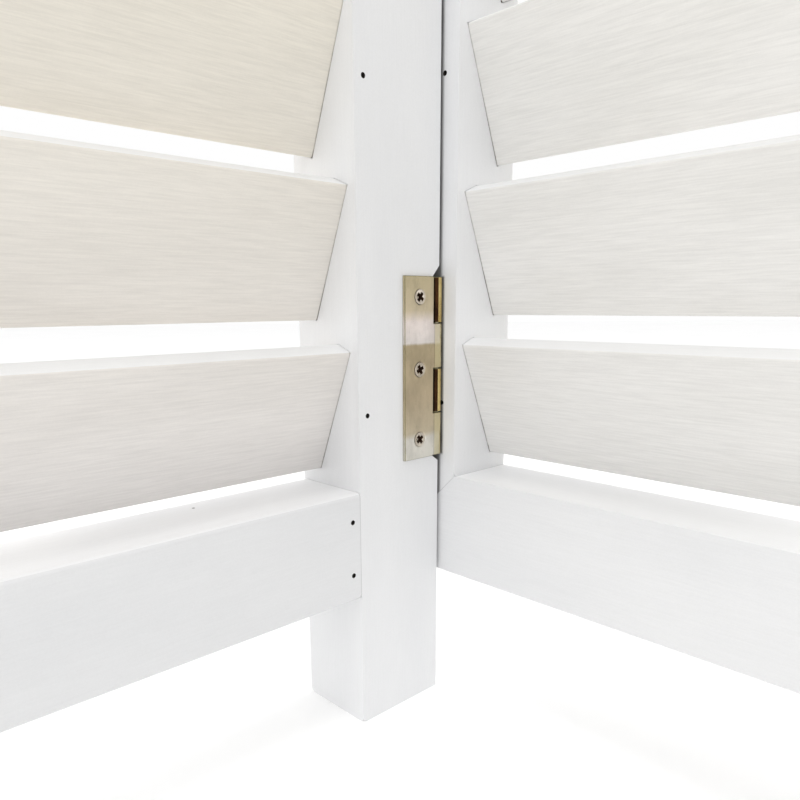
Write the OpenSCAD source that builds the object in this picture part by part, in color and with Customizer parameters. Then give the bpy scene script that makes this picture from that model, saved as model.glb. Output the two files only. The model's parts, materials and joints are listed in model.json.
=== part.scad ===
// Folding room divider screen: four louvred panels hinged in a zigzag.
// Each panel is a frame of two stiles and two rails around fixed slanted slats.
// Neighbouring panels meet edge against face and carry three butt hinges in the corner.

/* [Panels] */
// Width of one panel over both stiles (mm)
panel_width = 420; // [300:5:600]
// Height of a panel from the floor to the top of the frame (mm)
panel_height = 1678; // [1000:2:2000]
// Width of a stile seen from the front (mm)
stile_width = 38.6; // [30:0.1:60]
// Depth of the frame timber from front to back (mm)
frame_depth = 31; // [24:0.1:45]
// Width of stile that shows in front of the neighbouring panel at a corner (mm)
corner_reveal = 6.5; // [4:0.1:9]
// Height of the top and bottom rails (mm)
rail_height = 38.2; // [30:0.1:70]
// Clear height of the feet below the bottom rail (mm)
foot_height = 48.4; // [30:0.1:90]

/* [Slats] */
// Number of slats in a panel
slat_count = 30; // [10:1:34]
// Vertical distance from one slat to the next (mm)
slat_pitch = 51.6; // [48:0.1:70]
// Width of a slat across its slope (mm)
slat_width = 45; // [35:0.5:48]
// Thickness of a slat (mm)
slat_thickness = 7; // [4:0.1:8]
// Lean of the slats away from vertical (degrees)
slat_tilt = 22.5; // [15:0.5:35]
// Distance of the upper front slat edge behind the front face (mm)
slat_setback = 3.8; // [2:0.1:8]
// Gap between the bottom rail and the lowest slat edge (mm)
slat_gap = 5.2; // [3:0.1:12]
// Extra height of the slats in every second panel (mm)
slat_lift = 1; // [0:0.1:2]
// Length of slat end that is let into a stile (mm)
housing_depth = 8; // [5:0.5:12]
// Clearance around a slat end in its slot (mm)
housing_clearance = 0.1; // [0.05:0.05:0.3]

/* [Pins and dowels] */
// Diameter of a brad (mm)
brad_diameter = 1.3; // [0.8:0.1:2]
// Length of a brad (mm)
brad_length = 18; // [14:1:22]
// Diameter of the pit over a brad head (mm)
pit_diameter = 2.2; // [1.5:0.1:3]
// Depth of the pit over a brad head (mm)
pit_depth = 1.2; // [0.5:0.1:2]
// Distance of the slat brads from the inner edge of a right stile (mm)
brad_inset_right = 3.8; // [2:0.1:7]
// Distance of the slat brads from the inner edge of a left stile (mm)
brad_inset_left = 6.2; // [2:0.1:7]
// Largest drift of a hand-set brad along its stile (mm)
brad_drift = 6.5; // [0:0.5:8]
// Distance of the rail brads from the end of a rail (mm)
rail_brad_inset = 3.5; // [3:0.1:8]
// Diameter of a joint dowel (mm)
dowel_diameter = 8; // [6:0.5:10]
// Length of a joint dowel (mm)
dowel_length = 28; // [20:1:28]
// Distance of the outer dowels from the edges of a rail (mm)
dowel_edge = 9.6; // [8:0.1:14]

/* [Hinges] */
// Height of a hinge leaf (mm)
hinge_height = 63.5; // [50:0.5:76]
// Reach of a leaf from the corner to its free edge (mm)
leaf_reach = 18.3; // [15:0.1:24]
// Thickness of a leaf (mm)
leaf_thickness = 1.1; // [0.8:0.1:1.3]
// Outer radius of the hinge knuckles (mm)
knuckle_radius = 2; // [1.8:0.05:2.2]
// Radius of the hinge pin (mm)
pin_radius = 1; // [0.8:0.05:1.2]
// Radial running clearance of the pin (mm)
pin_clearance = 0.05; // [0.02:0.01:0.1]
// Gap between neighbouring knuckles (mm)
knuckle_gap = 0.3; // [0.2:0.05:0.5]
// Gap between the edge of one panel and the face of the next (mm)
panel_gap = 1.4; // [1.4:0.1:2]
// Gap between a leaf and the facing panel when the panels are folded together (mm)
fold_clearance = 0.1; // [0.05:0.05:0.2]
// Distance from the corner to the cut-outs for the other leaf's knuckles (mm)
leaf_cut = 4; // [3.5:0.1:6]
// Width of the notch for the barrel on the face of a stile (mm)
notch_width = 3.6; // [3.4:0.1:6]
// Depth of the notch for the barrel on the edge of a stile (mm)
notch_depth = 7.8; // [7:0.1:12]
// Height over which the notch runs out above a hinge (mm)
notch_top = 4; // [2:0.1:6]
// Height over which the notch runs out below a hinge (mm)
notch_bottom = 2.5; // [2:0.1:6]
// Gap from the lowest hinge to the bottom rail and the highest to the top rail (mm)
hinge_margin = 8; // [5:0.1:60]
// Distance of the screws from the corner (mm)
screw_reach = 10.7; // [9:0.1:13]
// Distance from the middle screw of a leaf to the outer ones (mm)
screw_spacing = 24.8; // [18:0.1:27]
// Radius of a screw head (mm)
screw_head_radius = 2.9; // [2.4:0.1:3.2]
// Radius of a screw shank (mm)
screw_shank_radius = 1.4; // [1.2:0.1:1.6]
// Length of a screw (mm)
screw_length = 15; // [10:1:16]

/* [Hidden] */
$fn = 48;
eps = 0.01;
hinge_count = 3;
panel_pitch = panel_width + panel_gap;
diagonal = sqrt(0.5);
overlap = stile_width - corner_reveal;
centre_x = diagonal * (4 * panel_width + 3 * panel_gap + 2 * frame_depth - 3 * overlap) / 2;
centre_y = diagonal * (panel_width + panel_gap + frame_depth + overlap) / 2;
rail_top_z = foot_height + rail_height;
head_rail_z = panel_height - rail_height;
slat_rise = slat_width * cos(slat_tilt);
slat_run = slat_width * sin(slat_tilt);
slat_length = panel_width - 2 * stile_width + 2 * housing_depth;
axis_x = panel_gap - fold_clearance - knuckle_radius;
axis_y = knuckle_radius - leaf_thickness;
knuckle_pitch = hinge_height / 4;
knuckle_height = knuckle_pitch - knuckle_gap;
hinge_low = rail_top_z + hinge_margin + hinge_height / 2;
hinge_high = head_rail_z - hinge_margin - hinge_height / 2;
brad_head_radius = brad_diameter / 2 + 0.2;
recess_width = 0.8;
recess_length = 3;
recess_depth = 1.1;

function slat_z(panel, i) = rail_top_z + slat_gap + slat_lift * (panel % 2) + i * slat_pitch;
function brad_z(panel, i) = slat_z(panel, i) + slat_rise / 2
    + brad_drift * sin(90 * panel) * sin(45 * i);
function hinge_z(i) = hinge_low + (hinge_high - hinge_low) * i / (hinge_count - 1);

// Places

module in_panel(panel) {
    if (panel == 0) {
        translate([-centre_x, -centre_y, 0])
            rotate([0, 0, 45])
                children();
    } else if (panel == 2) {
        in_panel(1)
            translate([panel_pitch + frame_depth, frame_depth - overlap, 0])
                rotate([0, 0, 90])
                    children();
    } else {
        in_panel(panel - 1)
            translate([panel_pitch, overlap, 0])
                rotate([0, 0, -90])
                    children();
    }
}

// Corner frame of a joint: x along the first panel, y into its depth, hinge side at y = 0
module in_joint(joint) {
    if (joint == 1) {
        in_panel(joint)
            translate([panel_width, frame_depth, 0])
                mirror([0, 1, 0])
                    children();
    } else {
        in_panel(joint)
            translate([panel_width, 0, 0])
                children();
    }
}

module mirror_right(right) {
    if (right) {
        translate([panel_width, 0, 0])
            mirror([1, 0, 0])
                children();
    } else {
        children();
    }
}

// Timber

module board(outline) {
    translate([0, frame_depth, 0])
        rotate([90, 0, 0])
            linear_extrude(frame_depth)
                polygon(outline);
}

module slat(panel, i, grow, length) {
    translate([0, slat_setback + slat_run, slat_z(panel, i)])
        rotate([slat_tilt, 0, 0])
            translate([0, -grow, -grow])
                cube([length, slat_thickness + 2 * grow, slat_width + 2 * grow]);
}

module butt_dowels(grow) {
    for (z = [foot_height + dowel_edge, rail_top_z - dowel_edge])
        translate([stile_width - dowel_length / 2 - grow, frame_depth / 2, z])
            rotate([0, 90, 0])
                cylinder(r = dowel_diameter / 2 + grow, h = dowel_length + 2 * grow);
}

module mitre_dowel(z, grow) {
    translate([(stile_width - dowel_length) / 2 - grow, frame_depth / 2, z])
        rotate([0, 90, 0])
            cylinder(r = dowel_diameter / 2 + grow, h = dowel_length + 2 * grow);
}

module corner_dowels(footed, grow) {
    if (footed)
        butt_dowels(grow);
    else
        mitre_dowel(foot_height + rail_height / 2, grow);
    mitre_dowel(panel_height - rail_height / 2, grow);
}

module stile_pits(panel, inset) {
    for (i = [0:2:slat_count - 1])
        translate([stile_width - inset, -eps, brad_z(panel, i)])
            rotate([-90, 0, 0])
                cylinder(d = pit_diameter, h = pit_depth + eps);
}

module rail_pits() {
    for (z = [foot_height + dowel_edge, rail_top_z - dowel_edge])
        translate([stile_width + rail_brad_inset, -eps, z])
            rotate([-90, 0, 0])
                cylinder(d = pit_diameter, h = pit_depth + eps);
}

module hinge_notch() {
    half = hinge_height / 2;
    out = 1 + 1 / notch_width + 1 / notch_depth;
    x = notch_width * (1 + 1 / notch_depth);
    y = notch_depth * (1 + 1 / notch_width);
    polyhedron(
        points = [
            [-1, -1, -half - notch_bottom * out],
            [x, -1, -half],
            [-1, y, -half],
            [x, -1, half],
            [-1, y, half],
            [-1, -1, half + notch_top * out]
        ],
        faces = [[5, 3, 1, 0], [2, 4, 5, 0], [3, 4, 2, 1], [1, 2, 0], [4, 3, 5]]
    );
}

module stile(panel, footed, inset) {
    foot = footed ? [[0, 0], [stile_width, 0]] : [[0, foot_height], [stile_width, rail_top_z]];
    difference() {
        board(concat(foot, [[stile_width, head_rail_z], [0, panel_height]]));
        for (i = [0:slat_count - 1])
            translate([stile_width - housing_depth - housing_clearance, 0, 0])
                slat(panel, i, housing_clearance, housing_depth + 1);
        corner_dowels(footed, housing_clearance / 2);
        stile_pits(panel, inset);
    }
}

// The stile that carries the leaf on its face, seen as a left one before mirroring
module leaf_stile(panel, hinge_side) {
    mirror_right(true) {
        difference() {
            stile(panel, true, brad_inset_right);
            if (hinge_side != "none") {
                for (i = [0:hinge_count - 1])
                    translate([0, hinge_side == "back" ? frame_depth : 0, hinge_z(i)])
                        mirror([0, hinge_side == "back" ? 1 : 0, 0])
                            hinge_notch();
            }
        }
    }
}

module rail_top() {
    difference() {
        board([
            [stile_width, head_rail_z],
            [panel_width - stile_width, head_rail_z],
            [panel_width, panel_height],
            [0, panel_height]
        ]);
        for (right = [false, true])
            mirror_right(right)
                mitre_dowel(panel_height - rail_height / 2, housing_clearance / 2);
    }
}

module rail_bottom(left_footed) {
    difference() {
        board([
            [left_footed ? stile_width : 0, foot_height],
            [panel_width - stile_width, foot_height],
            [panel_width - stile_width, rail_top_z],
            [stile_width, rail_top_z]
        ]);
        for (right = [false, true])
            mirror_right(right)
                corner_dowels(left_footed || right, housing_clearance / 2);
        if (left_footed)
            rail_pits();
        mirror_right(true)
            rail_pits();
    }
}

module slats(panel) {
    for (i = [0:slat_count - 1])
        translate([stile_width - housing_depth, 0, 0])
            slat(panel, i, 0, slat_length);
}

module dowels(left_footed) {
    for (right = [false, true])
        mirror_right(right)
            corner_dowels(left_footed || right, 0);
}

module brad(x, z) {
    translate([x, pit_depth, z])
        rotate([-90, 0, 0]) {
            cylinder(r = brad_head_radius, h = 0.5, $fn = 24);
            cylinder(d = brad_diameter, h = brad_length - 2, $fn = 24);
            translate([0, 0, brad_length - 2])
                cylinder(d1 = brad_diameter, d2 = 0.3, h = 2, $fn = 24);
        }
}

module brads(panel, left_footed) {
    for (right = [false, true])
        mirror_right(right) {
            for (i = [0:2:slat_count - 1])
                brad(stile_width - (right ? brad_inset_right : brad_inset_left), brad_z(panel, i));
            if (left_footed || right) {
                brad(stile_width + rail_brad_inset, foot_height + dowel_edge);
                brad(stile_width + rail_brad_inset, rail_top_z - dowel_edge);
            }
        }
}

// Hinges, in the corner frame of a joint with z = 0 at mid height

// Knuckle k counts from the bottom: the first panel has 0 and 2, the second 1 and 3
module knuckle(k) {
    translate([0, 0, k * knuckle_pitch - hinge_height / 2 + knuckle_gap / 2])
        children();
}

module barrel(k) {
    knuckle(k)
        translate([axis_x, axis_y, 0])
            cylinder(r = knuckle_radius, h = knuckle_height);
}

module pin_bore() {
    translate([axis_x, axis_y, -hinge_height])
        cylinder(r = pin_radius + pin_clearance, h = 2 * hinge_height);
}

module screw_seats() {
    for (z = [-screw_spacing, 0, screw_spacing])
        translate([0, 0, z])
            rotate([-90, 0, 0])
                translate([0, 0, -eps])
                    cylinder(
                        r1 = screw_head_radius + 0.1 + eps,
                        r2 = screw_head_radius + 0.1 - leaf_thickness - eps,
                        h = leaf_thickness + 2 * eps
                    );
}

// Leaf on the face of the first panel
module face_leaf() {
    difference() {
        union() {
            translate([-leaf_reach, -leaf_thickness, -hinge_height / 2])
                cube([leaf_reach - leaf_cut, leaf_thickness, hinge_height]);
            for (k = [0, 2]) {
                barrel(k);
                knuckle(k)
                    translate([-leaf_reach / 2, -leaf_thickness, 0])
                        cube([leaf_reach / 2 + axis_x, leaf_thickness, knuckle_height]);
            }
        }
        pin_bore();
        translate([-screw_reach, -leaf_thickness, 0])
            screw_seats();
    }
}

// Leaf on the second panel, in the gap beside the edge of the first
module gap_leaf() {
    inner = panel_gap - leaf_thickness;
    difference() {
        union() {
            translate([inner, leaf_cut, -hinge_height / 2])
                cube([leaf_thickness, leaf_reach - leaf_cut, hinge_height]);
            for (k = [1, 3]) {
                barrel(k);
                knuckle(k)
                    translate([inner, axis_y, 0])
                        cube([leaf_thickness, leaf_reach / 2, knuckle_height]);
            }
        }
        pin_bore();
        translate([inner, screw_reach, 0])
            rotate([0, 0, -90])
                screw_seats();
    }
}

module pin() {
    translate([axis_x, axis_y, 0.2 - hinge_height / 2])
        cylinder(r = pin_radius, h = hinge_height - 0.4);
}

// Screw with its head at y = 0, driven towards +y
module screw() {
    cone = screw_head_radius - screw_shank_radius;
    rotate([-90, 0, 0])
        difference() {
            union() {
                cylinder(r1 = screw_head_radius, r2 = screw_shank_radius, h = cone);
                cylinder(r = screw_shank_radius, h = screw_length - 3);
                translate([0, 0, screw_length - 3])
                    cylinder(r1 = screw_shank_radius, r2 = 0.2, h = 3);
            }
            for (turn = [0, 90])
                rotate([0, 0, turn])
                    translate([-recess_length / 2, -recess_width / 2, -1])
                        cube([recess_length, recess_width, recess_depth + 1]);
        }
}

module face_screws() {
    for (z = [-screw_spacing, 0, screw_spacing])
        translate([-screw_reach, 0.05 - leaf_thickness, z])
            screw();
}

module gap_screws() {
    for (z = [-screw_spacing, 0, screw_spacing])
        translate([panel_gap - leaf_thickness + 0.05, screw_reach, z])
            rotate([0, 0, -90])
                screw();
}

module at_hinge(joint, i) {
    in_joint(joint)
        translate([0, 0, hinge_z(i)])
            children();
}

module at_hinges(joint) {
    for (i = [0:hinge_count - 1])
        at_hinge(joint, i)
            children();
}

// Colours

module painted() {
    color([0.93, 0.93, 0.92])
        children();
}

module cream() {
    color([0.90, 0.87, 0.81])
        children();
}

module brass() {
    color([0.82, 0.74, 0.55])
        children();
}

module steel() {
    color([0.75, 0.74, 0.72])
        children();
}

module beech() {
    color([0.80, 0.66, 0.46])
        children();
}

// Sub-parts

module panel_a_stile_left() {
    painted()
        in_panel(0)
            stile(0, true, brad_inset_left);
}

module panel_a_stile_right() {
    painted()
        in_panel(0)
            leaf_stile(0, "front");
}

module panel_a_rail_top() {
    painted()
        in_panel(0)
            rail_top();
}

module panel_a_rail_bottom() {
    painted()
        in_panel(0)
            rail_bottom(true);
}

module panel_a_slats() {
    cream()
        in_panel(0)
            slats(0);
}

module panel_a_brads() {
    steel()
        in_panel(0)
            brads(0, true);
}

module panel_a_dowels() {
    beech()
        in_panel(0)
            dowels(true);
}

module panel_b_stile_left() {
    painted()
        in_panel(1)
            stile(1, false, brad_inset_left);
}

module panel_b_stile_right() {
    painted()
        in_panel(1)
            leaf_stile(1, "back");
}

module panel_b_rail_top() {
    painted()
        in_panel(1)
            rail_top();
}

module panel_b_rail_bottom() {
    painted()
        in_panel(1)
            rail_bottom(false);
}

module panel_b_slats() {
    cream()
        in_panel(1)
            slats(1);
}

module panel_b_brads() {
    steel()
        in_panel(1)
            brads(1, false);
}

module panel_b_dowels() {
    beech()
        in_panel(1)
            dowels(false);
}

module panel_c_stile_left() {
    painted()
        in_panel(2)
            stile(2, false, brad_inset_left);
}

module panel_c_stile_right() {
    painted()
        in_panel(2)
            leaf_stile(2, "front");
}

module panel_c_rail_top() {
    painted()
        in_panel(2)
            rail_top();
}

module panel_c_rail_bottom() {
    painted()
        in_panel(2)
            rail_bottom(false);
}

module panel_c_slats() {
    cream()
        in_panel(2)
            slats(2);
}

module panel_c_brads() {
    steel()
        in_panel(2)
            brads(2, false);
}

module panel_c_dowels() {
    beech()
        in_panel(2)
            dowels(false);
}

module panel_d_stile_left() {
    painted()
        in_panel(3)
            stile(3, false, brad_inset_left);
}

module panel_d_stile_right() {
    painted()
        in_panel(3)
            leaf_stile(3, "none");
}

module panel_d_rail_top() {
    painted()
        in_panel(3)
            rail_top();
}

module panel_d_rail_bottom() {
    painted()
        in_panel(3)
            rail_bottom(false);
}

module panel_d_slats() {
    cream()
        in_panel(3)
            slats(3);
}

module panel_d_brads() {
    steel()
        in_panel(3)
            brads(3, false);
}

module panel_d_dowels() {
    beech()
        in_panel(3)
            dowels(false);
}

module hinge_ab_1_leaf_a() {
    brass()
        at_hinge(0, 0)
            face_leaf();
}

module hinge_ab_1_leaf_b() {
    brass()
        at_hinge(0, 0)
            gap_leaf();
}

module hinge_ab_2_leaf_a() {
    brass()
        at_hinge(0, 1)
            face_leaf();
}

module hinge_ab_2_leaf_b() {
    brass()
        at_hinge(0, 1)
            gap_leaf();
}

module hinge_ab_3_leaf_a() {
    brass()
        at_hinge(0, 2)
            face_leaf();
}

module hinge_ab_3_leaf_b() {
    brass()
        at_hinge(0, 2)
            gap_leaf();
}

module hinge_bc_1_leaf_b() {
    brass()
        at_hinge(1, 0)
            face_leaf();
}

module hinge_bc_1_leaf_c() {
    brass()
        at_hinge(1, 0)
            gap_leaf();
}

module hinge_bc_2_leaf_b() {
    brass()
        at_hinge(1, 1)
            face_leaf();
}

module hinge_bc_2_leaf_c() {
    brass()
        at_hinge(1, 1)
            gap_leaf();
}

module hinge_bc_3_leaf_b() {
    brass()
        at_hinge(1, 2)
            face_leaf();
}

module hinge_bc_3_leaf_c() {
    brass()
        at_hinge(1, 2)
            gap_leaf();
}

module hinge_cd_1_leaf_c() {
    brass()
        at_hinge(2, 0)
            face_leaf();
}

module hinge_cd_1_leaf_d() {
    brass()
        at_hinge(2, 0)
            gap_leaf();
}

module hinge_cd_2_leaf_c() {
    brass()
        at_hinge(2, 1)
            face_leaf();
}

module hinge_cd_2_leaf_d() {
    brass()
        at_hinge(2, 1)
            gap_leaf();
}

module hinge_cd_3_leaf_c() {
    brass()
        at_hinge(2, 2)
            face_leaf();
}

module hinge_cd_3_leaf_d() {
    brass()
        at_hinge(2, 2)
            gap_leaf();
}

module hinge_ab_pins() {
    steel()
        at_hinges(0)
            pin();
}

module hinge_bc_pins() {
    steel()
        at_hinges(1)
            pin();
}

module hinge_cd_pins() {
    steel()
        at_hinges(2)
            pin();
}

module screws_ab_a() {
    steel()
        at_hinges(0)
            face_screws();
}

module screws_ab_b() {
    steel()
        at_hinges(0)
            gap_screws();
}

module screws_bc_b() {
    steel()
        at_hinges(1)
            face_screws();
}

module screws_bc_c() {
    steel()
        at_hinges(1)
            gap_screws();
}

module screws_cd_c() {
    steel()
        at_hinges(2)
            face_screws();
}

module screws_cd_d() {
    steel()
        at_hinges(2)
            gap_screws();
}

panel_a_stile_left();
panel_a_stile_right();
panel_a_rail_top();
panel_a_rail_bottom();
panel_a_slats();
panel_a_brads();
panel_a_dowels();
panel_b_stile_left();
panel_b_stile_right();
panel_b_rail_top();
panel_b_rail_bottom();
panel_b_slats();
panel_b_brads();
panel_b_dowels();
panel_c_stile_left();
panel_c_stile_right();
panel_c_rail_top();
panel_c_rail_bottom();
panel_c_slats();
panel_c_brads();
panel_c_dowels();
panel_d_stile_left();
panel_d_stile_right();
panel_d_rail_top();
panel_d_rail_bottom();
panel_d_slats();
panel_d_brads();
panel_d_dowels();
hinge_ab_1_leaf_a();
hinge_ab_1_leaf_b();
hinge_ab_2_leaf_a();
hinge_ab_2_leaf_b();
hinge_ab_3_leaf_a();
hinge_ab_3_leaf_b();
hinge_bc_1_leaf_b();
hinge_bc_1_leaf_c();
hinge_bc_2_leaf_b();
hinge_bc_2_leaf_c();
hinge_bc_3_leaf_b();
hinge_bc_3_leaf_c();
hinge_cd_1_leaf_c();
hinge_cd_1_leaf_d();
hinge_cd_2_leaf_c();
hinge_cd_2_leaf_d();
hinge_cd_3_leaf_c();
hinge_cd_3_leaf_d();
hinge_ab_pins();
hinge_bc_pins();
hinge_cd_pins();
screws_ab_a();
screws_ab_b();
screws_bc_b();
screws_bc_c();
screws_cd_c();
screws_cd_d();
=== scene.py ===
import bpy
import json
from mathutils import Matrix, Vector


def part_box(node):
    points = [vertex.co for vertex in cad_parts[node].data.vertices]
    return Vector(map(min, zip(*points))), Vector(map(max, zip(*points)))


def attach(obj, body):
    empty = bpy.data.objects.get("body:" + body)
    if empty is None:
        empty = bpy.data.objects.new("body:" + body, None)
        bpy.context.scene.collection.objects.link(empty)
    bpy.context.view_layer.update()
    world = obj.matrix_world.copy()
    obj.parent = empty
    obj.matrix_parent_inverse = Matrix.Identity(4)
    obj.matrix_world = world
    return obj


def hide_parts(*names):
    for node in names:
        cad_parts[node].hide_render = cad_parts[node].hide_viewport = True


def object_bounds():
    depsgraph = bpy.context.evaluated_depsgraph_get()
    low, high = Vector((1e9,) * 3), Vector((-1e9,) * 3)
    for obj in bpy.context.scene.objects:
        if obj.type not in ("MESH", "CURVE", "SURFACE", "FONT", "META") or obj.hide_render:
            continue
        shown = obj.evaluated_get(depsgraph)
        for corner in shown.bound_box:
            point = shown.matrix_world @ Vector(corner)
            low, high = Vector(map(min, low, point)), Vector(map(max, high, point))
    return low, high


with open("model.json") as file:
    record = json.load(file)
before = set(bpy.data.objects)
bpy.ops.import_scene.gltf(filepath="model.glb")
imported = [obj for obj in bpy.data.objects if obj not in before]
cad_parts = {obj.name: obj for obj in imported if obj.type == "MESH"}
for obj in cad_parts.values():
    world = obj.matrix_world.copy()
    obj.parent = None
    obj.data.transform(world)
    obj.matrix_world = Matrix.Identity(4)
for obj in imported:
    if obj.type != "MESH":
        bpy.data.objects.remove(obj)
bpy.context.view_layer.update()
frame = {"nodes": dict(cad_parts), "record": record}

import json
import math
import random

import bmesh
import bpy
from mathutils import Matrix, Vector

MM = 0.001
rng = random.Random(7)

PANELS = "abcd"
TURN = {"a": 45.0, "b": -45.0, "c": 45.0, "d": -45.0}
JOINTS = ("ab", "bc", "cd")


def spin(degrees):
    return Matrix.Rotation(math.radians(degrees), 3, "Z")


def axis_of(joint):
    """A point on the pin axis of a joint."""
    joints = frame["record"]["behaviour"]["joints"]
    return Vector(next(j for j in joints if j["name"] == "fold_" + joint)["pos_m"])


# The corner of the first joint: the outer front corner of panel a's right stile.
PIN_OFFSET = Vector((-0.7, 0.9, 0)) * MM
CORNER = axis_of("ab") - spin(45) @ PIN_OFFSET
CORNER.z = 0.0
# The part of a stile's width that the panel before it covers.
OVERLAP = 32.1 * MM
# Half of a hinge's height, and the radius of its barrel.
HINGE_HALF = 31.75 * MM
BARREL_RADIUS = 2.0 * MM
SLAT_PITCH = 51.6 * MM
# The arrises of stiles and rails, of slats, and of edges kept crisp beside a hinge.
ROUND = {"stile": 1.3 * MM, "rail": 1.5 * MM}
SLAT_ROUND = 0.8 * MM
CRISP_ROUND = 0.35 * MM
# Points this near a brad and no deeper than this are its nail pit's. Paint draws the pit's mouth in.
PIT_REACH = 1.35 * MM
PIT_DEPTH = 1.5 * MM
PIT_DRAW = 0.78
# The notch's run-outs are near a stile's edge, and clear of the mitre at its top.
NOTCH_REACH = 9 * MM
MITRE_ZONE = 45 * MM
# Points this near a screw's axis and no deeper than this are its cross recess's. Its floor is lifted.
CROSS_RADIUS = 1.6 * MM
CROSS_DEPTH = 1.2 * MM
FLOOR_LIFT = 0.18 * MM
# A screw's points past this radius are its rim's, which is drawn in.
HEAD_RADIUS = 2.5 * MM
HEAD_DRAW = 0.9


# ---------------------------------------------------------------- node helpers

class Tree:
    """A small helper to build a node material."""

    def __init__(self, name):
        self.mat = bpy.data.materials.new(name)
        self.mat.use_nodes = True
        self.nt = self.mat.node_tree
        self.nt.nodes.clear()
        self.out = self.nt.nodes.new("ShaderNodeOutputMaterial")
        self.bsdf = self.nt.nodes.new("ShaderNodeBsdfPrincipled")
        self.nt.links.new(self.bsdf.outputs[0], self.out.inputs[0])

    def node(self, kind, inputs=None, **props):
        n = self.nt.nodes.new(kind)
        for k, v in props.items():
            setattr(n, k, v)
        for k, v in (inputs or {}).items():
            self.feed(n.inputs[k], v)
        return n

    def feed(self, socket, value):
        if isinstance(value, bpy.types.NodeSocket):
            self.nt.links.new(value, socket)
        else:
            socket.default_value = value

    def set(self, name, value):
        self.feed(self.bsdf.inputs[name], value)

    def coords(self, turn, stretch):
        """Object coordinates turned so that x runs along the panel, then stretched."""
        tc = self.node("ShaderNodeTexCoord")
        turned = self.node("ShaderNodeMapping", {"Vector": tc.outputs["Object"],
                                                 "Rotation": (0, 0, math.radians(-turn))})
        return self.node("ShaderNodeMapping", {"Vector": turned.outputs[0], "Scale": stretch}).outputs[0]

    def noise(self, vector, scale, detail=3.0, rough=0.55, distortion=0.0):
        return self.node("ShaderNodeTexNoise", {"Vector": vector, "Scale": scale, "Detail": detail,
                                                "Roughness": rough, "Distortion": distortion}).outputs["Fac"]

    def ramp(self, fac, stops):
        n = self.node("ShaderNodeValToRGB", {"Fac": fac})
        el = n.color_ramp.elements
        while len(el) < len(stops):
            el.new(0.5)
        for e, (p, c) in zip(el, stops):
            e.position = p
            e.color = (*c, 1.0)
        return n.outputs["Color"]

    def span(self, fac, lo, hi, to_lo=0.0, to_hi=1.0):
        return self.node("ShaderNodeMapRange", {"Value": fac, "From Min": lo, "From Max": hi,
                                                "To Min": to_lo, "To Max": to_hi}).outputs["Result"]

    def mix(self, fac, a, b, mode="MIX"):
        n = self.node("ShaderNodeMix", data_type="RGBA", blend_type=mode)
        self.feed(n.inputs[0], fac)
        self.feed(n.inputs[6], (*a, 1.0) if isinstance(a, tuple) and len(a) == 3 else a)
        self.feed(n.inputs[7], (*b, 1.0) if isinstance(b, tuple) and len(b) == 3 else b)
        return n.outputs[2]

    def maths(self, op, a, b=0.0):
        n = self.node("ShaderNodeMath", operation=op)
        self.feed(n.inputs[0], a)
        self.feed(n.inputs[1], b)
        return n.outputs[0]

    def bump(self, height, strength, distance, under=None):
        ins = {"Height": height, "Strength": strength, "Distance": distance}
        if under is not None:
            ins["Normal"] = under
        return self.node("ShaderNodeBump", ins).outputs[0]


# ---------------------------------------------------------------- materials

def timber_paint(name, turn, grain, low, high, streak, rough, extra=None):
    """White paint over wood. grain is the axis the fibres run along: x along the panel or z."""
    t = Tree(name)
    along = {"x": (0.05, 1.0, 1.0), "z": (1.0, 1.0, 0.05)}[grain]
    fibre = t.noise(t.coords(turn, along), 1500.0, 4.0, 0.65, 0.2)
    broad = t.noise(t.coords(turn, tuple(min(1.0, a * 6) for a in along)), 38.0, 3.0, 0.5)
    speck = t.noise(t.coords(turn, (1.0, 1.0, 1.0)), 1700.0, 2.0, 0.6)
    cloud = t.noise(t.coords(turn, (1.0, 1.0, 1.0)), 9.0, 2.0, 0.5)
    base = t.mix(t.span(broad, 0.3, 0.7), low, high)
    shade = t.span(fibre, 0.32, 0.68, 1.0 - streak, 1.0 + streak * 0.35)
    fine = t.span(speck, 0.3, 0.75, 0.985, 1.01)
    wide = t.span(cloud, 0.3, 0.7, 0.985, 1.01)
    level = t.maths("MULTIPLY", t.maths("MULTIPLY", shade, fine), wide)
    grey = t.node("ShaderNodeCombineXYZ", {"X": level, "Y": level, "Z": level}).outputs[0]
    colour = t.mix(1.0, base, grey, "MULTIPLY")
    if extra:
        colour = extra(t, colour)
    t.set("Base Color", colour)
    t.set("Roughness", t.span(speck, 0.3, 0.7, rough - 0.05, rough + 0.07))
    t.set("Specular IOR Level", 0.35)
    brush = t.bump(fibre, 0.16 if grain == "z" else 0.22, 0.00022)
    t.set("Normal", t.bump(speck, 0.12, 0.00012, brush))
    return t.mat


def flat_coords(t, turn):
    tc = t.node("ShaderNodeTexCoord")
    turned = t.node("ShaderNodeMapping", {"Vector": tc.outputs["Object"],
                                          "Rotation": (0, 0, math.radians(-turn))})
    return t.node("ShaderNodeSeparateXYZ", {"Vector": turned.outputs[0]}).outputs


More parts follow.
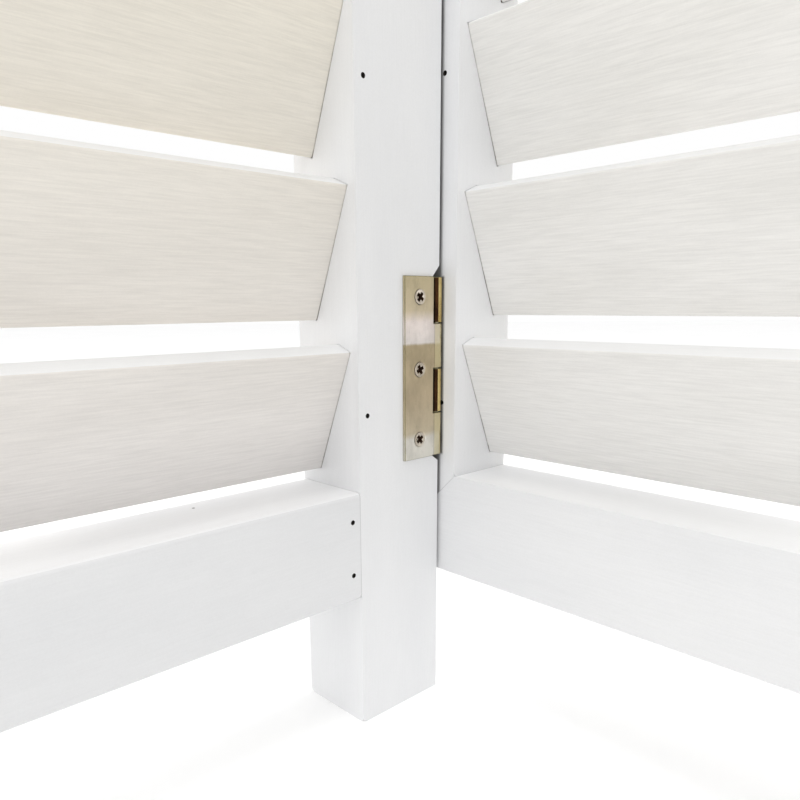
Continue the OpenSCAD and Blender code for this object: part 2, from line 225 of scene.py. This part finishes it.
def seam_dirt(turn, edges, low_z, tints, strength):
    """Dark lines where slat ends meet the stiles, and a slow change of tone with height."""
    def add(t, colour):
        x, y, z = flat_coords(t, turn)
        near = [t.maths("ABSOLUTE", t.maths("SUBTRACT", x, e)) for e in edges]
        line = t.span(t.maths("MINIMUM", near[0], near[1]), 0.18 * MM, 0.42 * MM, 1.0, 0.0)
        rise = t.maths("FRACT", t.maths("DIVIDE", t.maths("SUBTRACT", z, low_z), SLAT_PITCH))
        patchy = t.noise(t.coords(turn, (1.0, 1.0, 1.0)), 130.0, 3.0, 0.7)
        dark = t.maths("MULTIPLY", t.span(rise, 0.0, 0.75, strength, strength * 0.35),
                       t.span(patchy, 0.35, 0.6, 0.4, 1.0))
        tint = t.mix(t.span(z, 100 * MM, 270 * MM), tints[0], tints[1])
        tint = t.mix(t.span(z, 340 * MM, 700 * MM), tint, tints[2])
        tinted = t.mix(1.0, colour, tint, "MULTIPLY")
        return t.mix(t.maths("MULTIPLY", line, dark), tinted, (0.10, 0.085, 0.07))
    return add


def gap_shade(turn, line_x, face_y, heights, half):
    """Painted shade on the face that another panel stands against, along the gap between them, wider beside
    each hinge barrel.
    """
    def add(t, colour):
        x, y, z = flat_coords(t, turn)
        past = t.maths("SUBTRACT", x, line_x)
        near = None
        for h in heights:
            off = t.maths("ABSOLUTE", t.maths("SUBTRACT", z, h))
            m = t.span(off, half - 0.3 * MM, half + 0.6 * MM, 1.0, 0.0)
            near = m if near is None else t.maths("MAXIMUM", near, m)
        patchy = t.noise(t.coords(turn, (1.0, 1.0, 0.3)), 300.0, 3.0, 0.6)
        wide = t.maths("MULTIPLY", near, t.span(past, 0.6 * MM, 1.5 * MM, 0.9, 0.0))
        thin = t.span(past, -0.9 * MM, 0.35 * MM, 0.75, 0.0)
        mouth = t.span(past, -6.0 * MM, -3.5 * MM, 0.0, 1.0)
        dark = t.maths("MULTIPLY", t.maths("MAXIMUM", wide, thin), t.span(patchy, 0.3, 0.7, 0.85, 1.0))
        off_face = t.maths("ABSOLUTE", t.maths("SUBTRACT", y, face_y))
        skin = t.span(off_face, 1.5 * MM, 3.0 * MM, 1.0, 0.0)
        dark = t.maths("MULTIPLY", t.maths("MULTIPLY", dark, mouth), skin)
        return t.mix(dark, colour, (0.045, 0.042, 0.038))
    return add


def rail_seams(turn, lines, spot=None):
    """Fine lines where a rail meets the stiles, and one tiny dark nick."""
    def add(t, colour):
        x, y, z = flat_coords(t, turn)
        for x1, z1, x2, z2 in lines:
            run, rise = x2 - x1, z2 - z1
            size = math.hypot(run, rise)
            a = t.maths("MULTIPLY", t.maths("SUBTRACT", x, x1), rise / size)
            b = t.maths("MULTIPLY", t.maths("SUBTRACT", z, z1), run / size)
            off = t.maths("ABSOLUTE", t.maths("SUBTRACT", a, b))
            colour = t.mix(t.span(off, 0.10 * MM, 0.36 * MM, 0.34, 0.0), colour, (0.16, 0.155, 0.15))
        if spot is None:
            return colour
        tc = t.node("ShaderNodeTexCoord")
        gap = t.node("ShaderNodeVectorMath", {0: tc.outputs["Object"], 1: tuple(spot)}, operation="DISTANCE")
        nick = t.span(gap.outputs["Value"], 0.35 * MM, 0.6 * MM, 1.0, 0.0)
        return t.mix(nick, colour, (0.06, 0.05, 0.045))
    return add


def plate_brass():
    """Pale satin brass with bands of painted reflection up the leaf, plainer brass between them, and tarnish
    spots.
    """
    t = Tree("plate_brass")
    rise = t.node("ShaderNodeAttribute", attribute_name="rise").outputs["Fac"]
    brushed = t.noise(t.coords(45.0, (1.0, 1.0, 0.035)), 5200.0, 3.0, 0.6)
    tarnish = t.noise(t.coords(45.0, (1.0, 1.0, 0.6)), 160.0, 4.0, 0.6)
    fine = t.noise(t.coords(45.0, (1.0, 1.0, 1.0)), 2600.0, 3.0, 0.7)
    wavy = t.maths("ADD", rise, t.span(tarnish, 0.3, 0.7, -0.005, 0.005))
    # The bright bands by height up the leaf are painted reflections; the darker bands between them are the
    # plain brass.
    tone = t.ramp(wavy, [(0.0, (0.74, 0.72, 0.65)), (0.115, (0.78, 0.75, 0.69)), (0.15, (0.62, 0.54, 0.40)),
                         (0.34, (0.60, 0.50, 0.35)), (0.60, (0.54, 0.45, 0.30)), (0.632, (0.54, 0.45, 0.30)),
                         (0.645, (0.86, 0.81, 0.78)), (0.76, (0.84, 0.76, 0.72)), (0.82, (0.66, 0.57, 0.41)),
                         (1.0, (0.60, 0.52, 0.34))])
    spots = t.mix(t.span(tarnish, 0.35, 0.65, 0.82, 1.05), (0.0, 0.0, 0.0), tone)
    reach = t.node("ShaderNodeAttribute", attribute_name="reach").outputs["Fac"]
    spots = t.mix(t.span(reach, -2.75 * MM, -2.4 * MM, 0.0, 0.6), spots, (0.68, 0.61, 0.37))
    # A dark line at the crease between leaf and knuckle: painted shade.
    crease_shade = t.span(t.maths("ABSOLUTE", t.maths("ADD", reach, 2.8 * MM)), 0.08 * MM, 0.32 * MM, 0.35, 0.0)
    spots = t.mix(crease_shade, spots, (0.20, 0.16, 0.09))
    t.set("Base Color", t.mix(t.span(fine, 0.66, 0.8), spots, (0.30, 0.24, 0.15)))
    t.set("Metallic", 1.0)
    t.set("Roughness", t.span(brushed, 0.3, 0.7, 0.26, 0.40))
    t.set("Normal", t.bump(brushed, 0.08, 0.00005, t.bump(tarnish, 0.10, 0.0004)))
    return t.mat


def barrel_brass(name, low, mid, high):
    """The rolled knuckles are yellower and smoother than the plate."""
    t = Tree(name)
    tarnish = t.noise(t.coords(45.0, (1.0, 1.0, 0.5)), 260.0, 4.0, 0.6)
    t.set("Base Color", t.ramp(tarnish, [(0.30, low), (0.55, mid), (0.78, high)]))
    t.set("Metallic", 1.0)
    t.set("Roughness", t.span(tarnish, 0.3, 0.7, 0.24, 0.36))
    t.set("Normal", t.bump(tarnish, 0.06, 0.0003))
    return t.mat


def shade_paint(name, low, high):
    """Near-black painted shade in a recess, with a little noise in tone and roughness."""
    t = Tree(name)
    n = t.noise(t.coords(0.0, (1.0, 1.0, 0.4)), 900.0, 3.0, 0.6)
    t.set("Base Color", t.ramp(n, [(0.3, low), (0.7, high)]))
    t.set("Roughness", t.span(n, 0.3, 0.7, 0.55, 0.8))
    t.set("Specular IOR Level", 0.06)
    t.set("Normal", t.bump(n, 0.2, 0.0001))
    return t.mat


def plated_steel(name, dark, light, rough):
    t = Tree(name)
    grain = t.noise(t.coords(0.0, (1.0, 1.0, 1.0)), 1400.0, 4.0, 0.6)
    wide = t.noise(t.coords(0.0, (1.0, 1.0, 1.0)), 320.0, 3.0, 0.5)
    t.set("Base Color", t.mix(t.span(wide, 0.3, 0.7), dark, light))
    t.set("Metallic", 1.0)
    t.set("Roughness", t.span(grain, 0.3, 0.7, rough - 0.05, rough + 0.08))
    t.set("Normal", t.bump(grain, 0.08, 0.0001))
    return t.mat


def pit_dark():
    """The inside of a nail pit: near-black painted shade, partly bare wood and rust."""
    t = Tree("pit_dark")
    n = t.noise(t.coords(0.0, (1.0, 1.0, 1.0)), 1500.0, 3.0, 0.6)
    t.set("Base Color", t.ramp(n, [(0.3, (0.012, 0.010, 0.008)), (0.7, (0.05, 0.042, 0.034))]))
    t.set("Roughness", t.span(n, 0.3, 0.7, 0.75, 0.95))
    t.set("Normal", t.bump(n, 0.3, 0.0002))
    return t.mat


def bare_wood():
    t = Tree("bare_wood")
    fibre = t.noise(t.coords(45.0, (0.05, 1.0, 1.0)), 700.0, 4.0, 0.6)
    t.set("Base Color", t.ramp(fibre, [(0.3, (0.50, 0.34, 0.18)), (0.7, (0.66, 0.48, 0.28))]))
    t.set("Roughness", t.span(fibre, 0.3, 0.7, 0.55, 0.7))
    t.set("Normal", t.bump(fibre, 0.2, 0.0002))
    return t.mat


def floor_pale():
    t = Tree("floor_pale")
    n = t.noise(t.coords(0.0, (1.0, 1.0, 1.0)), 6.0, 3.0, 0.5)
    fine = t.noise(t.coords(0.0, (1.0, 1.0, 1.0)), 240.0, 3.0, 0.6)
    t.set("Base Color", t.mix(t.span(n, 0.3, 0.7), (0.965, 0.965, 0.965), (0.985, 0.985, 0.985)))
    t.set("Roughness", t.span(fine, 0.3, 0.7, 0.7, 0.85))
    t.set("Normal", t.bump(fine, 0.02, 0.0004))
    return t.mat


def along(node, turn, i=0):
    """Where a node starts and ends along its panel, or across it with i = 1."""
    xs = [(spin(-turn) @ v.co)[i] for v in frame["nodes"][node].data.vertices]
    return min(xs), max(xs)


FRAME_LOW, FRAME_HIGH = (0.785, 0.79, 0.80), (0.825, 0.828, 0.835)
# Slats of panels a and c get a darker copy of the one white paint than those of b and d: painted shade.
# Their slats also change tint with height.
SLAT_TONES = {
    "a": ((0.775, 0.755, 0.725), (0.835, 0.815, 0.785),
          ((0.955, 0.945, 0.955), (1.03, 1.0, 0.90), (1.02, 1.03, 1.03))),
    "b": ((0.795, 0.785, 0.755), (0.86, 0.85, 0.825),
          ((0.99, 0.99, 1.0), (1.0, 1.0, 1.0), (1.0, 1.0, 1.0))),
}
SLAT_TONES["c"], SLAT_TONES["d"] = SLAT_TONES["a"], SLAT_TONES["b"]
# Bottom rails of panels a and c get a darker copy of the paint: painted shade.
RAIL_TONES = {
    "a": ((0.74, 0.745, 0.755), (0.78, 0.783, 0.79)),
    "b": (FRAME_LOW, FRAME_HIGH),
}
RAIL_TONES["c"], RAIL_TONES["d"] = RAIL_TONES["a"], RAIL_TONES["b"]
# Lighter copies of the paint for the upward faces of the bottom rails and the slats: painted light from
# above.
LIT_UP_LOW, LIT_UP_HIGH = (0.845, 0.85, 0.86), (0.88, 0.883, 0.89)
LIT_TOP_LOW, LIT_TOP_HIGH = (0.815, 0.82, 0.825), (0.855, 0.858, 0.862)

# The dark nick on top of panel a's bottom rail.
MARK = CORNER + spin(45) @ Vector((-87.7, 23.8, 0)) * MM
MARK.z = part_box("panel_a_rail_bottom")[1][2]
mats = {
    "stile+": timber_paint("stile_paint_left_turn", 45, "z", FRAME_LOW, FRAME_HIGH, 0.016, 0.45),
    "stile-": timber_paint("stile_paint_right_turn", -45, "z", FRAME_LOW, FRAME_HIGH, 0.016, 0.45),
    "plate": plate_brass(),
    "barrel": barrel_brass("barrel_brass", (0.50, 0.36, 0.13), (0.72, 0.57, 0.25), (0.80, 0.68, 0.36)),
    "knuckle": barrel_brass("knuckle_brass", (0.52, 0.45, 0.27), (0.66, 0.58, 0.36), (0.76, 0.69, 0.48)),
    # These three paint shade: the recess and umber ones on a hinge barrel's shaded side, a leaf's cut edge
    # and screw recesses, the notch one in a stile's notch.
    "recess": shade_paint("recess_painted_shade", (0.010, 0.005, 0.003), (0.045, 0.022, 0.010)),
    "umber": shade_paint("umber_painted_shade", (0.025, 0.010, 0.004), (0.085, 0.036, 0.012)),
    "edge": barrel_brass("edge_brass", (0.16, 0.14, 0.07), (0.26, 0.23, 0.12), (0.36, 0.32, 0.18)),
    "notch": shade_paint("notch_painted_shade", (0.003, 0.003, 0.003), (0.012, 0.011, 0.010)),
    "screw": plated_steel("screw_steel", (0.50, 0.44, 0.36), (0.80, 0.73, 0.64), 0.24),
    "pin": plated_steel("pin_steel", (0.42, 0.38, 0.30), (0.60, 0.56, 0.47), 0.3),
    "brad": plated_steel("brad_steel", (0.05, 0.045, 0.04), (0.12, 0.11, 0.10), 0.5),
    "pit": pit_dark(),
    "dowel": bare_wood(),
    "floor": floor_pale(),
}
for p in PANELS:
    ends = (along("panel_%s_stile_left" % p, TURN[p])[1], along("panel_%s_stile_right" % p, TURN[p])[0])
    tone_low, tone_high, tints = SLAT_TONES[p]
    mats["slat_" + p] = timber_paint("slat_paint_" + p, TURN[p], "x", tone_low, tone_high, 0.075, 0.55,
                                     seam_dirt(TURN[p], ends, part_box("panel_%s_slats" % p)[0][2],
                                               tints, 0.8 if p in "ac" else 1.0))
    # The slats' upward faces take a lighter copy of the paint: painted light.
    mats["slat_top_" + p] = timber_paint("slat_top_painted_light_" + p, TURN[p], "x", LIT_TOP_LOW, LIT_TOP_HIGH, 0.02, 0.5)
    x0, xl = along("panel_%s_stile_left" % p, TURN[p])
    xr, x1 = along("panel_%s_stile_right" % p, TURN[p])
    low, high = (box[2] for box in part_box("panel_%s_rail_bottom" % p))
    head, top = (box[2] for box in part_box("panel_%s_rail_top" % p))
    corner = (xl, low, xl, high) if p == "a" else (x0, low, xl, high)
    seams = rail_seams(TURN[p], [corner, (xr, low, xr, high)], MARK)
    mats["rail_bottom_" + p] = timber_paint("low_rail_paint_" + p, TURN[p], "x", *RAIL_TONES[p],
                                            0.02, 0.45, seams)
    # The bottom rail's upward faces take a lighter copy of the paint: painted light.
    mats["rail_up_" + p] = timber_paint("low_rail_top_paint_" + p, TURN[p], "x", LIT_UP_LOW, LIT_UP_HIGH,
                                        0.02, 0.45, seams)
    mitres = [(x0, top, xl, head), (x1, top, xr, head)]
    mats["rail_top_" + p] = timber_paint("head_rail_paint_" + p, TURN[p], "x", FRAME_LOW, FRAME_HIGH,
                                         0.02, 0.45, rail_seams(TURN[p], mitres))
for j in JOINTS:
    p = j[1]
    boxes = [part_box("hinge_%s_%d_leaf_%s" % (j, i, p)) for i in (1, 2, 3)]
    heights = [(b[0][2] + b[1][2]) / 2 for b in boxes]
    line_x = along("panel_%s_stile_left" % p, TURN[p])[0] + OVERLAP
    face_y = along("panel_%s_stile_left" % p, TURN[p], 1)[1 if j == "bc" else 0]
    # The stile face behind each joint gets painted shade along the gap and beside the hinge barrels.
    mats["face_" + p] = timber_paint("face_stile_paint_" + p, TURN[p], "z", FRAME_LOW, FRAME_HIGH,
                                     0.016, 0.45, gap_shade(TURN[p], line_x, face_y, heights, HINGE_HALF))


# ---------------------------------------------------------------- mesh helpers

def clean_copy(node):
    """A welded copy of a CAD node's mesh with its flat faces joined again."""
    bm = bmesh.new()
    bm.from_mesh(frame["nodes"][node].data)
    bmesh.ops.remove_doubles(bm, verts=bm.verts, dist=2e-6)
    bmesh.ops.dissolve_limit(bm, angle_limit=math.radians(0.5), use_dissolve_boundaries=False,
                             verts=bm.verts, edges=bm.edges)
    return bm


def place(bm, name, node, letter, materials):
    """Makes an object from bm, which stands for the CAD node and rides on its panel."""
    me = bpy.data.meshes.new(name)
    bm.normal_update()
    for f in bm.faces:
        f.smooth = True
    bm.to_mesh(me)
    bm.free()
    me.set_sharp_from_angle(angle=math.radians(32.0))
    ob = bpy.data.objects.new(name, me)
    bpy.context.scene.collection.objects.link(ob)
    for m in materials:
        me.materials.append(m)
    wn = ob.modifiers.new("even_normals", "WEIGHTED_NORMAL")
    wn.keep_sharp = True
    wn.mode = "FACE_AREA"
    wn.weight = 80
    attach(ob, "panel_" + letter)
    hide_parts(node)


def ease(bm, edges, width, segments=3):
    edges = [e for e in edges if e.is_valid and len(e.link_faces) == 2]
    if not edges:
        return []
    return bmesh.ops.bevel(bm, geom=edges, offset=width, offset_type="OFFSET", segments=segments,
                           profile=0.5, affect="EDGES", clamp_overlap=False, loop_slide=True)["faces"]


def local_frame(bm, turn):
    """The turn into the panel's directions, and the mesh's box in them."""
    back = spin(-turn)
    pts = [back @ v.co for v in bm.verts]
    lo = Vector([min(p[i] for p in pts) for i in range(3)])
    hi = Vector([max(p[i] for p in pts) for i in range(3)])
    return back, lo, hi


def islands(bm):
    """The separate solids of a mesh, as lists of its points."""
    seen, out = set(), []
    for v in bm.verts:
        if v in seen:
            continue
        stack, group = [v], []
        seen.add(v)
        while stack:
            w = stack.pop()
            group.append(w)
            for e in w.link_edges:
                o = e.other_vert(w)
                if o not in seen:
                    seen.add(o)
                    stack.append(o)
        out.append(group)
    return out


def brad_spots(letter):
    """Local (x, z) centres of a panel's brads."""
    back = spin(-TURN[letter])
    bm = clean_copy("panel_%s_brads" % letter)
    spots = []
    for group in islands(bm):
        q = [back @ v.co for v in group]
        spots.append(((min(p.x for p in q) + max(p.x for p in q)) / 2,
                      (min(p.z for p in q) + max(p.z for p in q)) / 2))
    bm.free()
    return spots


def mark_pits(bm, back, front_y, spots):
    """Gives the nail pits near-black painted shade and draws their mouths in a little, as paint does."""
    ahead = back.transposed()
    moved = set()
    for f in bm.faces:
        c = back @ f.calc_center_median()
        if c.y < front_y + 0.02 * MM or c.y > front_y + PIT_DEPTH:
            continue
        pts = [back @ v.co for v in f.verts]
        x, z = min(spots, key=lambda s: math.hypot(c.x - s[0], c.z - s[1]))
        if all(math.hypot(q.x - x, q.z - z) < PIT_REACH for q in pts):
            f.material_index = 1
            for v in f.verts:
                if v not in moved:
                    moved.add(v)
                    q = back @ v.co
                    v.co = ahead @ Vector((x + (q.x - x) * PIT_DRAW, q.y, z + (q.z - z) * PIT_DRAW))


def sharp_edges(bm, angle=40.0):
    return [e for e in bm.edges if len(e.link_faces) == 2 and e.calc_face_angle(0.0) > math.radians(angle)]


def board(node, letter, kind, long_axis):
    """A frame board: its long arrises eased, and its notch and pits darkened with painted shade."""
    turn = TURN[letter]
    bm = clean_copy(node)
    back, lo, hi = local_frame(bm, turn)
    tol = 0.01 * MM

    def sides(e):
        pts = [back @ v.co for v in e.verts]
        out = set()
        for i in range(3):
            for limit, sign in ((lo[i], -1), (hi[i], 1)):
                if all(abs(p[i] - limit) < tol for p in pts):
                    out.add((i, sign))
        return out

    cross = [i for i in range(3) if i != long_axis]
    keen = {(0, 1), (1, -1)} if node.endswith("stile_right") and letter in "ac" else None
    if node.endswith("stile_right") and letter == "b":
        keen = {(0, 1), (1, 1)}
    soft, crisp = [], []
    for e in sharp_edges(bm):
        s = sides(e)
        if set(cross) <= {i for i, sign in s}:
            (crisp if keen and keen <= s else soft).append(e)
    mark_pits(bm, back, lo.y, brad_spots(letter))
    # The notch's slanted run-out faces take near-black painted shade.
    if keen:
        for f in bm.faces:
            n = back @ f.normal
            c = back @ f.calc_center_median()
            size = [abs(v) for v in n]
            slanted = size[0] > 0.2 and max(size[1:]) > 0.2 and max(size) < 0.999
            in_notch = c.x > hi.x - NOTCH_REACH and abs(c.z - hi.z) > MITRE_ZONE
            if slanted and in_notch and f.material_index == 0:
                f.material_index = 2
    ease(bm, soft, ROUND[kind], 4)
    ease(bm, crisp, CRISP_ROUND, 2)
    if kind == "rail":
        paint = mats[node[8:] + "_" + letter]
    elif node.endswith("stile_left") and letter != "a":
        paint = mats["face_" + letter]
    else:
        paint = mats["stile" + ("+" if turn > 0 else "-")]
    slots = [paint, mats["pit"], mats["notch"]]
    # Upward faces of a bottom rail get the lighter copy: painted light from above.
    if node.endswith("rail_bottom"):
        slots.append(mats["rail_up_" + letter])
        bm.normal_update()
        for f in bm.faces:
            if f.normal.z > 0.7 and f.material_index == 0:
                f.material_index = 3
    place(bm, node + "_painted", node, letter, slots)


def slat_set(letter):
    node = "panel_%s_slats" % letter
    bm = clean_copy(node)
    back = spin(-TURN[letter])
    long_edges = []
    for e in sharp_edges(bm):
        d = (back @ e.verts[0].co) - (back @ e.verts[1].co)
        if abs(d.x) > 10 * MM:
            long_edges.append(e)
    ease(bm, long_edges, SLAT_ROUND, 3)
    # Upward faces of the slats get the lighter copy: painted light from above.
    bm.normal_update()
    for f in bm.faces:
        if f.normal.z > 0.7:
            f.material_index = 1
    place(bm, node + "_painted", node, letter,
          [mats["slat_" + letter], mats["slat_top_" + letter]])


def hinge_leaf(joint, i, letter):
    """A leaf with eased edges, yellower knuckles and painted shade where they sit in the notch."""
    node = "hinge_%s_%d_leaf_%s" % (joint, i, letter)
    bm = clean_copy(node)
    first = letter == joint[0]
    axis = axis_of(joint)
    back = spin(-TURN[joint[0]])
    flip = -1.0 if joint == "bc" else 1.0
    lo_z = min(v.co.z for v in bm.verts)
    hi_z = max(v.co.z for v in bm.verts)
    for f in bm.faces:
        c = back @ (f.calc_center_median() - axis)
        n = back @ f.normal
        n.y *= flip
        c.y *= flip
        if abs(n.z) > 0.9:
            continue
        pts = [back @ (v.co - axis) for v in f.verts]
        if all(abs(math.hypot(q.x, q.y) - BARREL_RADIUS) < 0.02 * MM for q in pts):
            f.material_index = 1
            facing = math.degrees(math.atan2(n.y, n.x)) % 360.0
            # The side of the second leaf's barrel that faces into the notch is painted dark: painted shade,
            # near black then umber.
            if not first and 90.0 < facing < 245.0:
                f.material_index = 2 if facing < 214.0 else 3
        # The first leaf's cut edge beside the other barrel gets the same painted shade.
        elif first and n.x > 0.9 and c.x < -1.5 * MM:
            f.material_index = 2
    bevelled = ease(bm, sharp_edges(bm, 50.0), 0.2 * MM, 2)
    for f in bevelled:
        f.material_index = 4
    # rise is the height up the leaf, for the bands of painted reflection; reach is the distance across from
    # the pin, which also places the crease's painted shade.
    rise = bm.verts.layers.float.new("rise")
    reach = bm.verts.layers.float.new("reach")
    for v in bm.verts:
        v[rise] = (v.co.z - lo_z) / (hi_z - lo_z)
        v[reach] = (back @ (v.co - axis)).x
    knuckle = mats["knuckle"] if first else mats["barrel"]
    place(bm, node + "_detail", node, letter,
          [mats["plate"], knuckle, mats["recess"], mats["umber"], mats["edge"]])


def screw_set(joint, letter):
    """Screws with slightly smaller, softened heads, cross recesses painted near black as painted shade, and
    each its own turn.
    """
    node = "screws_%s_%s" % (joint, letter)
    first = letter == joint[0]
    bm = clean_copy(node)
    turn = TURN[joint[0]]
    back, ahead = spin(-turn), spin(turn)
    axis_i = 1 if first else 0
    flip = -1.0 if first and joint == "bc" else 1.0
    recess = {}
    for group in islands(bm):
        pts = {v: back @ v.co for v in group}
        low = Vector([min(p[i] for p in pts.values()) for i in range(3)])
        high = Vector([max(p[i] for p in pts.values()) for i in range(3)])
        mid = (low + high) / 2
        spin_by = math.radians(rng.uniform(20, 70))
        a, b = [i for i in range(3) if i != axis_i]
        top = set()
        for v, p in pts.items():
            da, db = p[a] - mid[a], p[b] - mid[b]
            r = math.hypot(da, db)
            deep = p[axis_i] - low[axis_i] if flip > 0 else high[axis_i] - p[axis_i]
            if deep < 0.05 * MM:
                top.add(v)
            if r < CROSS_RADIUS and deep < CROSS_DEPTH:
                recess[v] = deep
                inner, outer = (0.62, 1.72) if deep < 0.3 * MM else (0.42, 1.25)
                da, db = (math.copysign((inner if abs(d) < 0.6 * MM else outer) * MM, d) for d in (da, db))
            k = HEAD_DRAW if r > HEAD_RADIUS else 1.0
            q = p.copy()
            q[a] = mid[a] + k * (da * math.cos(spin_by) - db * math.sin(spin_by))
            q[b] = mid[b] + k * (da * math.sin(spin_by) + db * math.cos(spin_by))
            if v in recess and deep > 0.3 * MM:
                q[axis_i] -= flip * FLOOR_LIFT
            v.co = ahead @ q
        lid = {f for v in top for f in v.link_faces if all(w in top for w in f.verts)}
        edges = {e for f in lid for e in f.edges}
        rims = [e for e in edges if sum(f in lid for f in e.link_faces) == 1]
        bmesh.ops.delete(bm, geom=list(lid), context="FACES_ONLY")
        bmesh.ops.delete(bm, geom=[e for e in edges if not e.link_faces], context="EDGES")
        bmesh.ops.triangle_fill(bm, use_beauty=True, use_dissolve=False, edges=rims)
    bmesh.ops.recalc_face_normals(bm, faces=bm.faces[:])
    bm.normal_update()
    # The deep faces of each cross recess take near-black painted shade.
    for f in bm.faces:
        if all(v in recess for v in f.verts) and any(recess[v] > 0.5 * MM for v in f.verts):
            f.material_index = 1
    ease(bm, [e for e in sharp_edges(bm, 25.0) if e.calc_length() < 1.2 * MM and
              not any(f.material_index == 1 for f in e.link_faces)], 0.12 * MM, 2)
    place(bm, node + "_detail", node, letter, [mats["screw"], mats["recess"]])


# ---------------------------------------------------------------- the screen

for p in PANELS:
    for side in ("left", "right"):
        board("panel_%s_stile_%s" % (p, side), p, "stile", 2)
    board("panel_%s_rail_top" % p, p, "rail", 0)
    board("panel_%s_rail_bottom" % p, p, "rail", 0)
    slat_set(p)
    for n, m in (("brads", "brad"), ("dowels", "dowel")):
        ob = frame["nodes"]["panel_%s_%s" % (p, n)]
        ob.data.materials.clear()
        ob.data.materials.append(mats[m])

for j in JOINTS:
    for i in (1, 2, 3):
        for side in j:
            hinge_leaf(j, i, side)
    for side in j:
        screw_set(j, side)
    ob = frame["nodes"]["hinge_%s_pins" % j]
    ob.data.materials.clear()
    ob.data.materials.append(mats["pin"])


# ---------------------------------------------------------------- floor, light, camera

FLOOR_HALF = 6.0
# Lens and sensor are in millimetres, and the shift is a fraction of the frame's width.
SENSOR = 36.0
LENS = 31.923
SHIFT = (0.01675, 0.087125)
# Yaw, pitch and roll in degrees, and the camera's place from the corner in panel a's directions.
CAMERA_ANGLES = (-43.352, -13.070, -0.4294)
CAMERA_PLACE = Vector((-191.10, -174.57, 148.53)) * MM

lo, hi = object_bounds()
bm = bmesh.new()
for x, y in ((-1, -1), (1, -1), (1, 1), (-1, 1)):
    bm.verts.new((x * FLOOR_HALF, y * FLOOR_HALF, lo.z))
bm.faces.new(bm.verts)
me = bpy.data.meshes.new("floor")
bm.to_mesh(me)
bm.free()
me.materials.append(mats["floor"])
floor = bpy.data.objects.new("floor", me)
bpy.context.scene.collection.objects.link(floor)

world = bpy.data.worlds.new("studio")
bpy.context.scene.world = world
world.use_nodes = True
bg = world.node_tree.nodes["Background"]
bg.inputs["Color"].default_value = (1.0, 1.0, 1.0, 1.0)
bg.inputs["Strength"].default_value = 1.0


def lamp(name, offset, target, size, watts, colour=(1, 1, 1)):
    data = bpy.data.lights.new(name, "AREA")
    data.shape = "SQUARE"
    data.size = size
    data.energy = watts
    data.color = colour
    ob = bpy.data.objects.new(name, data)
    bpy.context.scene.collection.objects.link(ob)
    ob.location = CORNER + Vector(offset)
    aim = CORNER + Vector(target) - ob.location
    ob.rotation_euler = aim.to_track_quat("-Z", "Y").to_euler()


lamp("key", (-1.1, -1.2, 0.7), (0, 0, 0.05), 0.9, 2.1)
lamp("top", (-0.05, -0.45, 2.6), (0, -0.05, 0.1), 0.9, 17.0)
lamp("back_left", (-0.75, 0.55, 0.45), (-0.1, -0.1, 0.08), 0.6, 2.3, (1.0, 0.97, 0.92))
lamp("back_right", (0.75, 0.55, 0.45), (0.1, -0.1, 0.08), 0.6, 1.8)

cam_data = bpy.data.cameras.new("camera")
cam = bpy.data.objects.new("camera", cam_data)
bpy.context.scene.collection.objects.link(cam)
cam_data.sensor_width = SENSOR
cam_data.lens = LENS
cam_data.shift_x, cam_data.shift_y = SHIFT
cam_data.clip_start = 0.01
cam_data.clip_end = 50.0
yaw, pitch, roll = (math.radians(angle) for angle in CAMERA_ANGLES)
level = math.cos(pitch)
ahead = spin(45) @ Vector((-math.sin(yaw) * level, math.cos(yaw) * level, math.sin(pitch)))
right = ahead.cross(Vector((0, 0, 1))).normalized()
up = right.cross(ahead)
right, up = right * math.cos(roll) + up * math.sin(roll), up * math.cos(roll) - right * math.sin(roll)
rot = Matrix((right, up, -ahead)).transposed()
cam.matrix_world = Matrix.Translation(CORNER + spin(45) @ CAMERA_PLACE) @ rot.to_4x4()
bpy.context.scene.camera = cam

bpy.context.scene.view_settings.view_transform = "Standard"
bpy.context.scene.view_settings.look = "None"
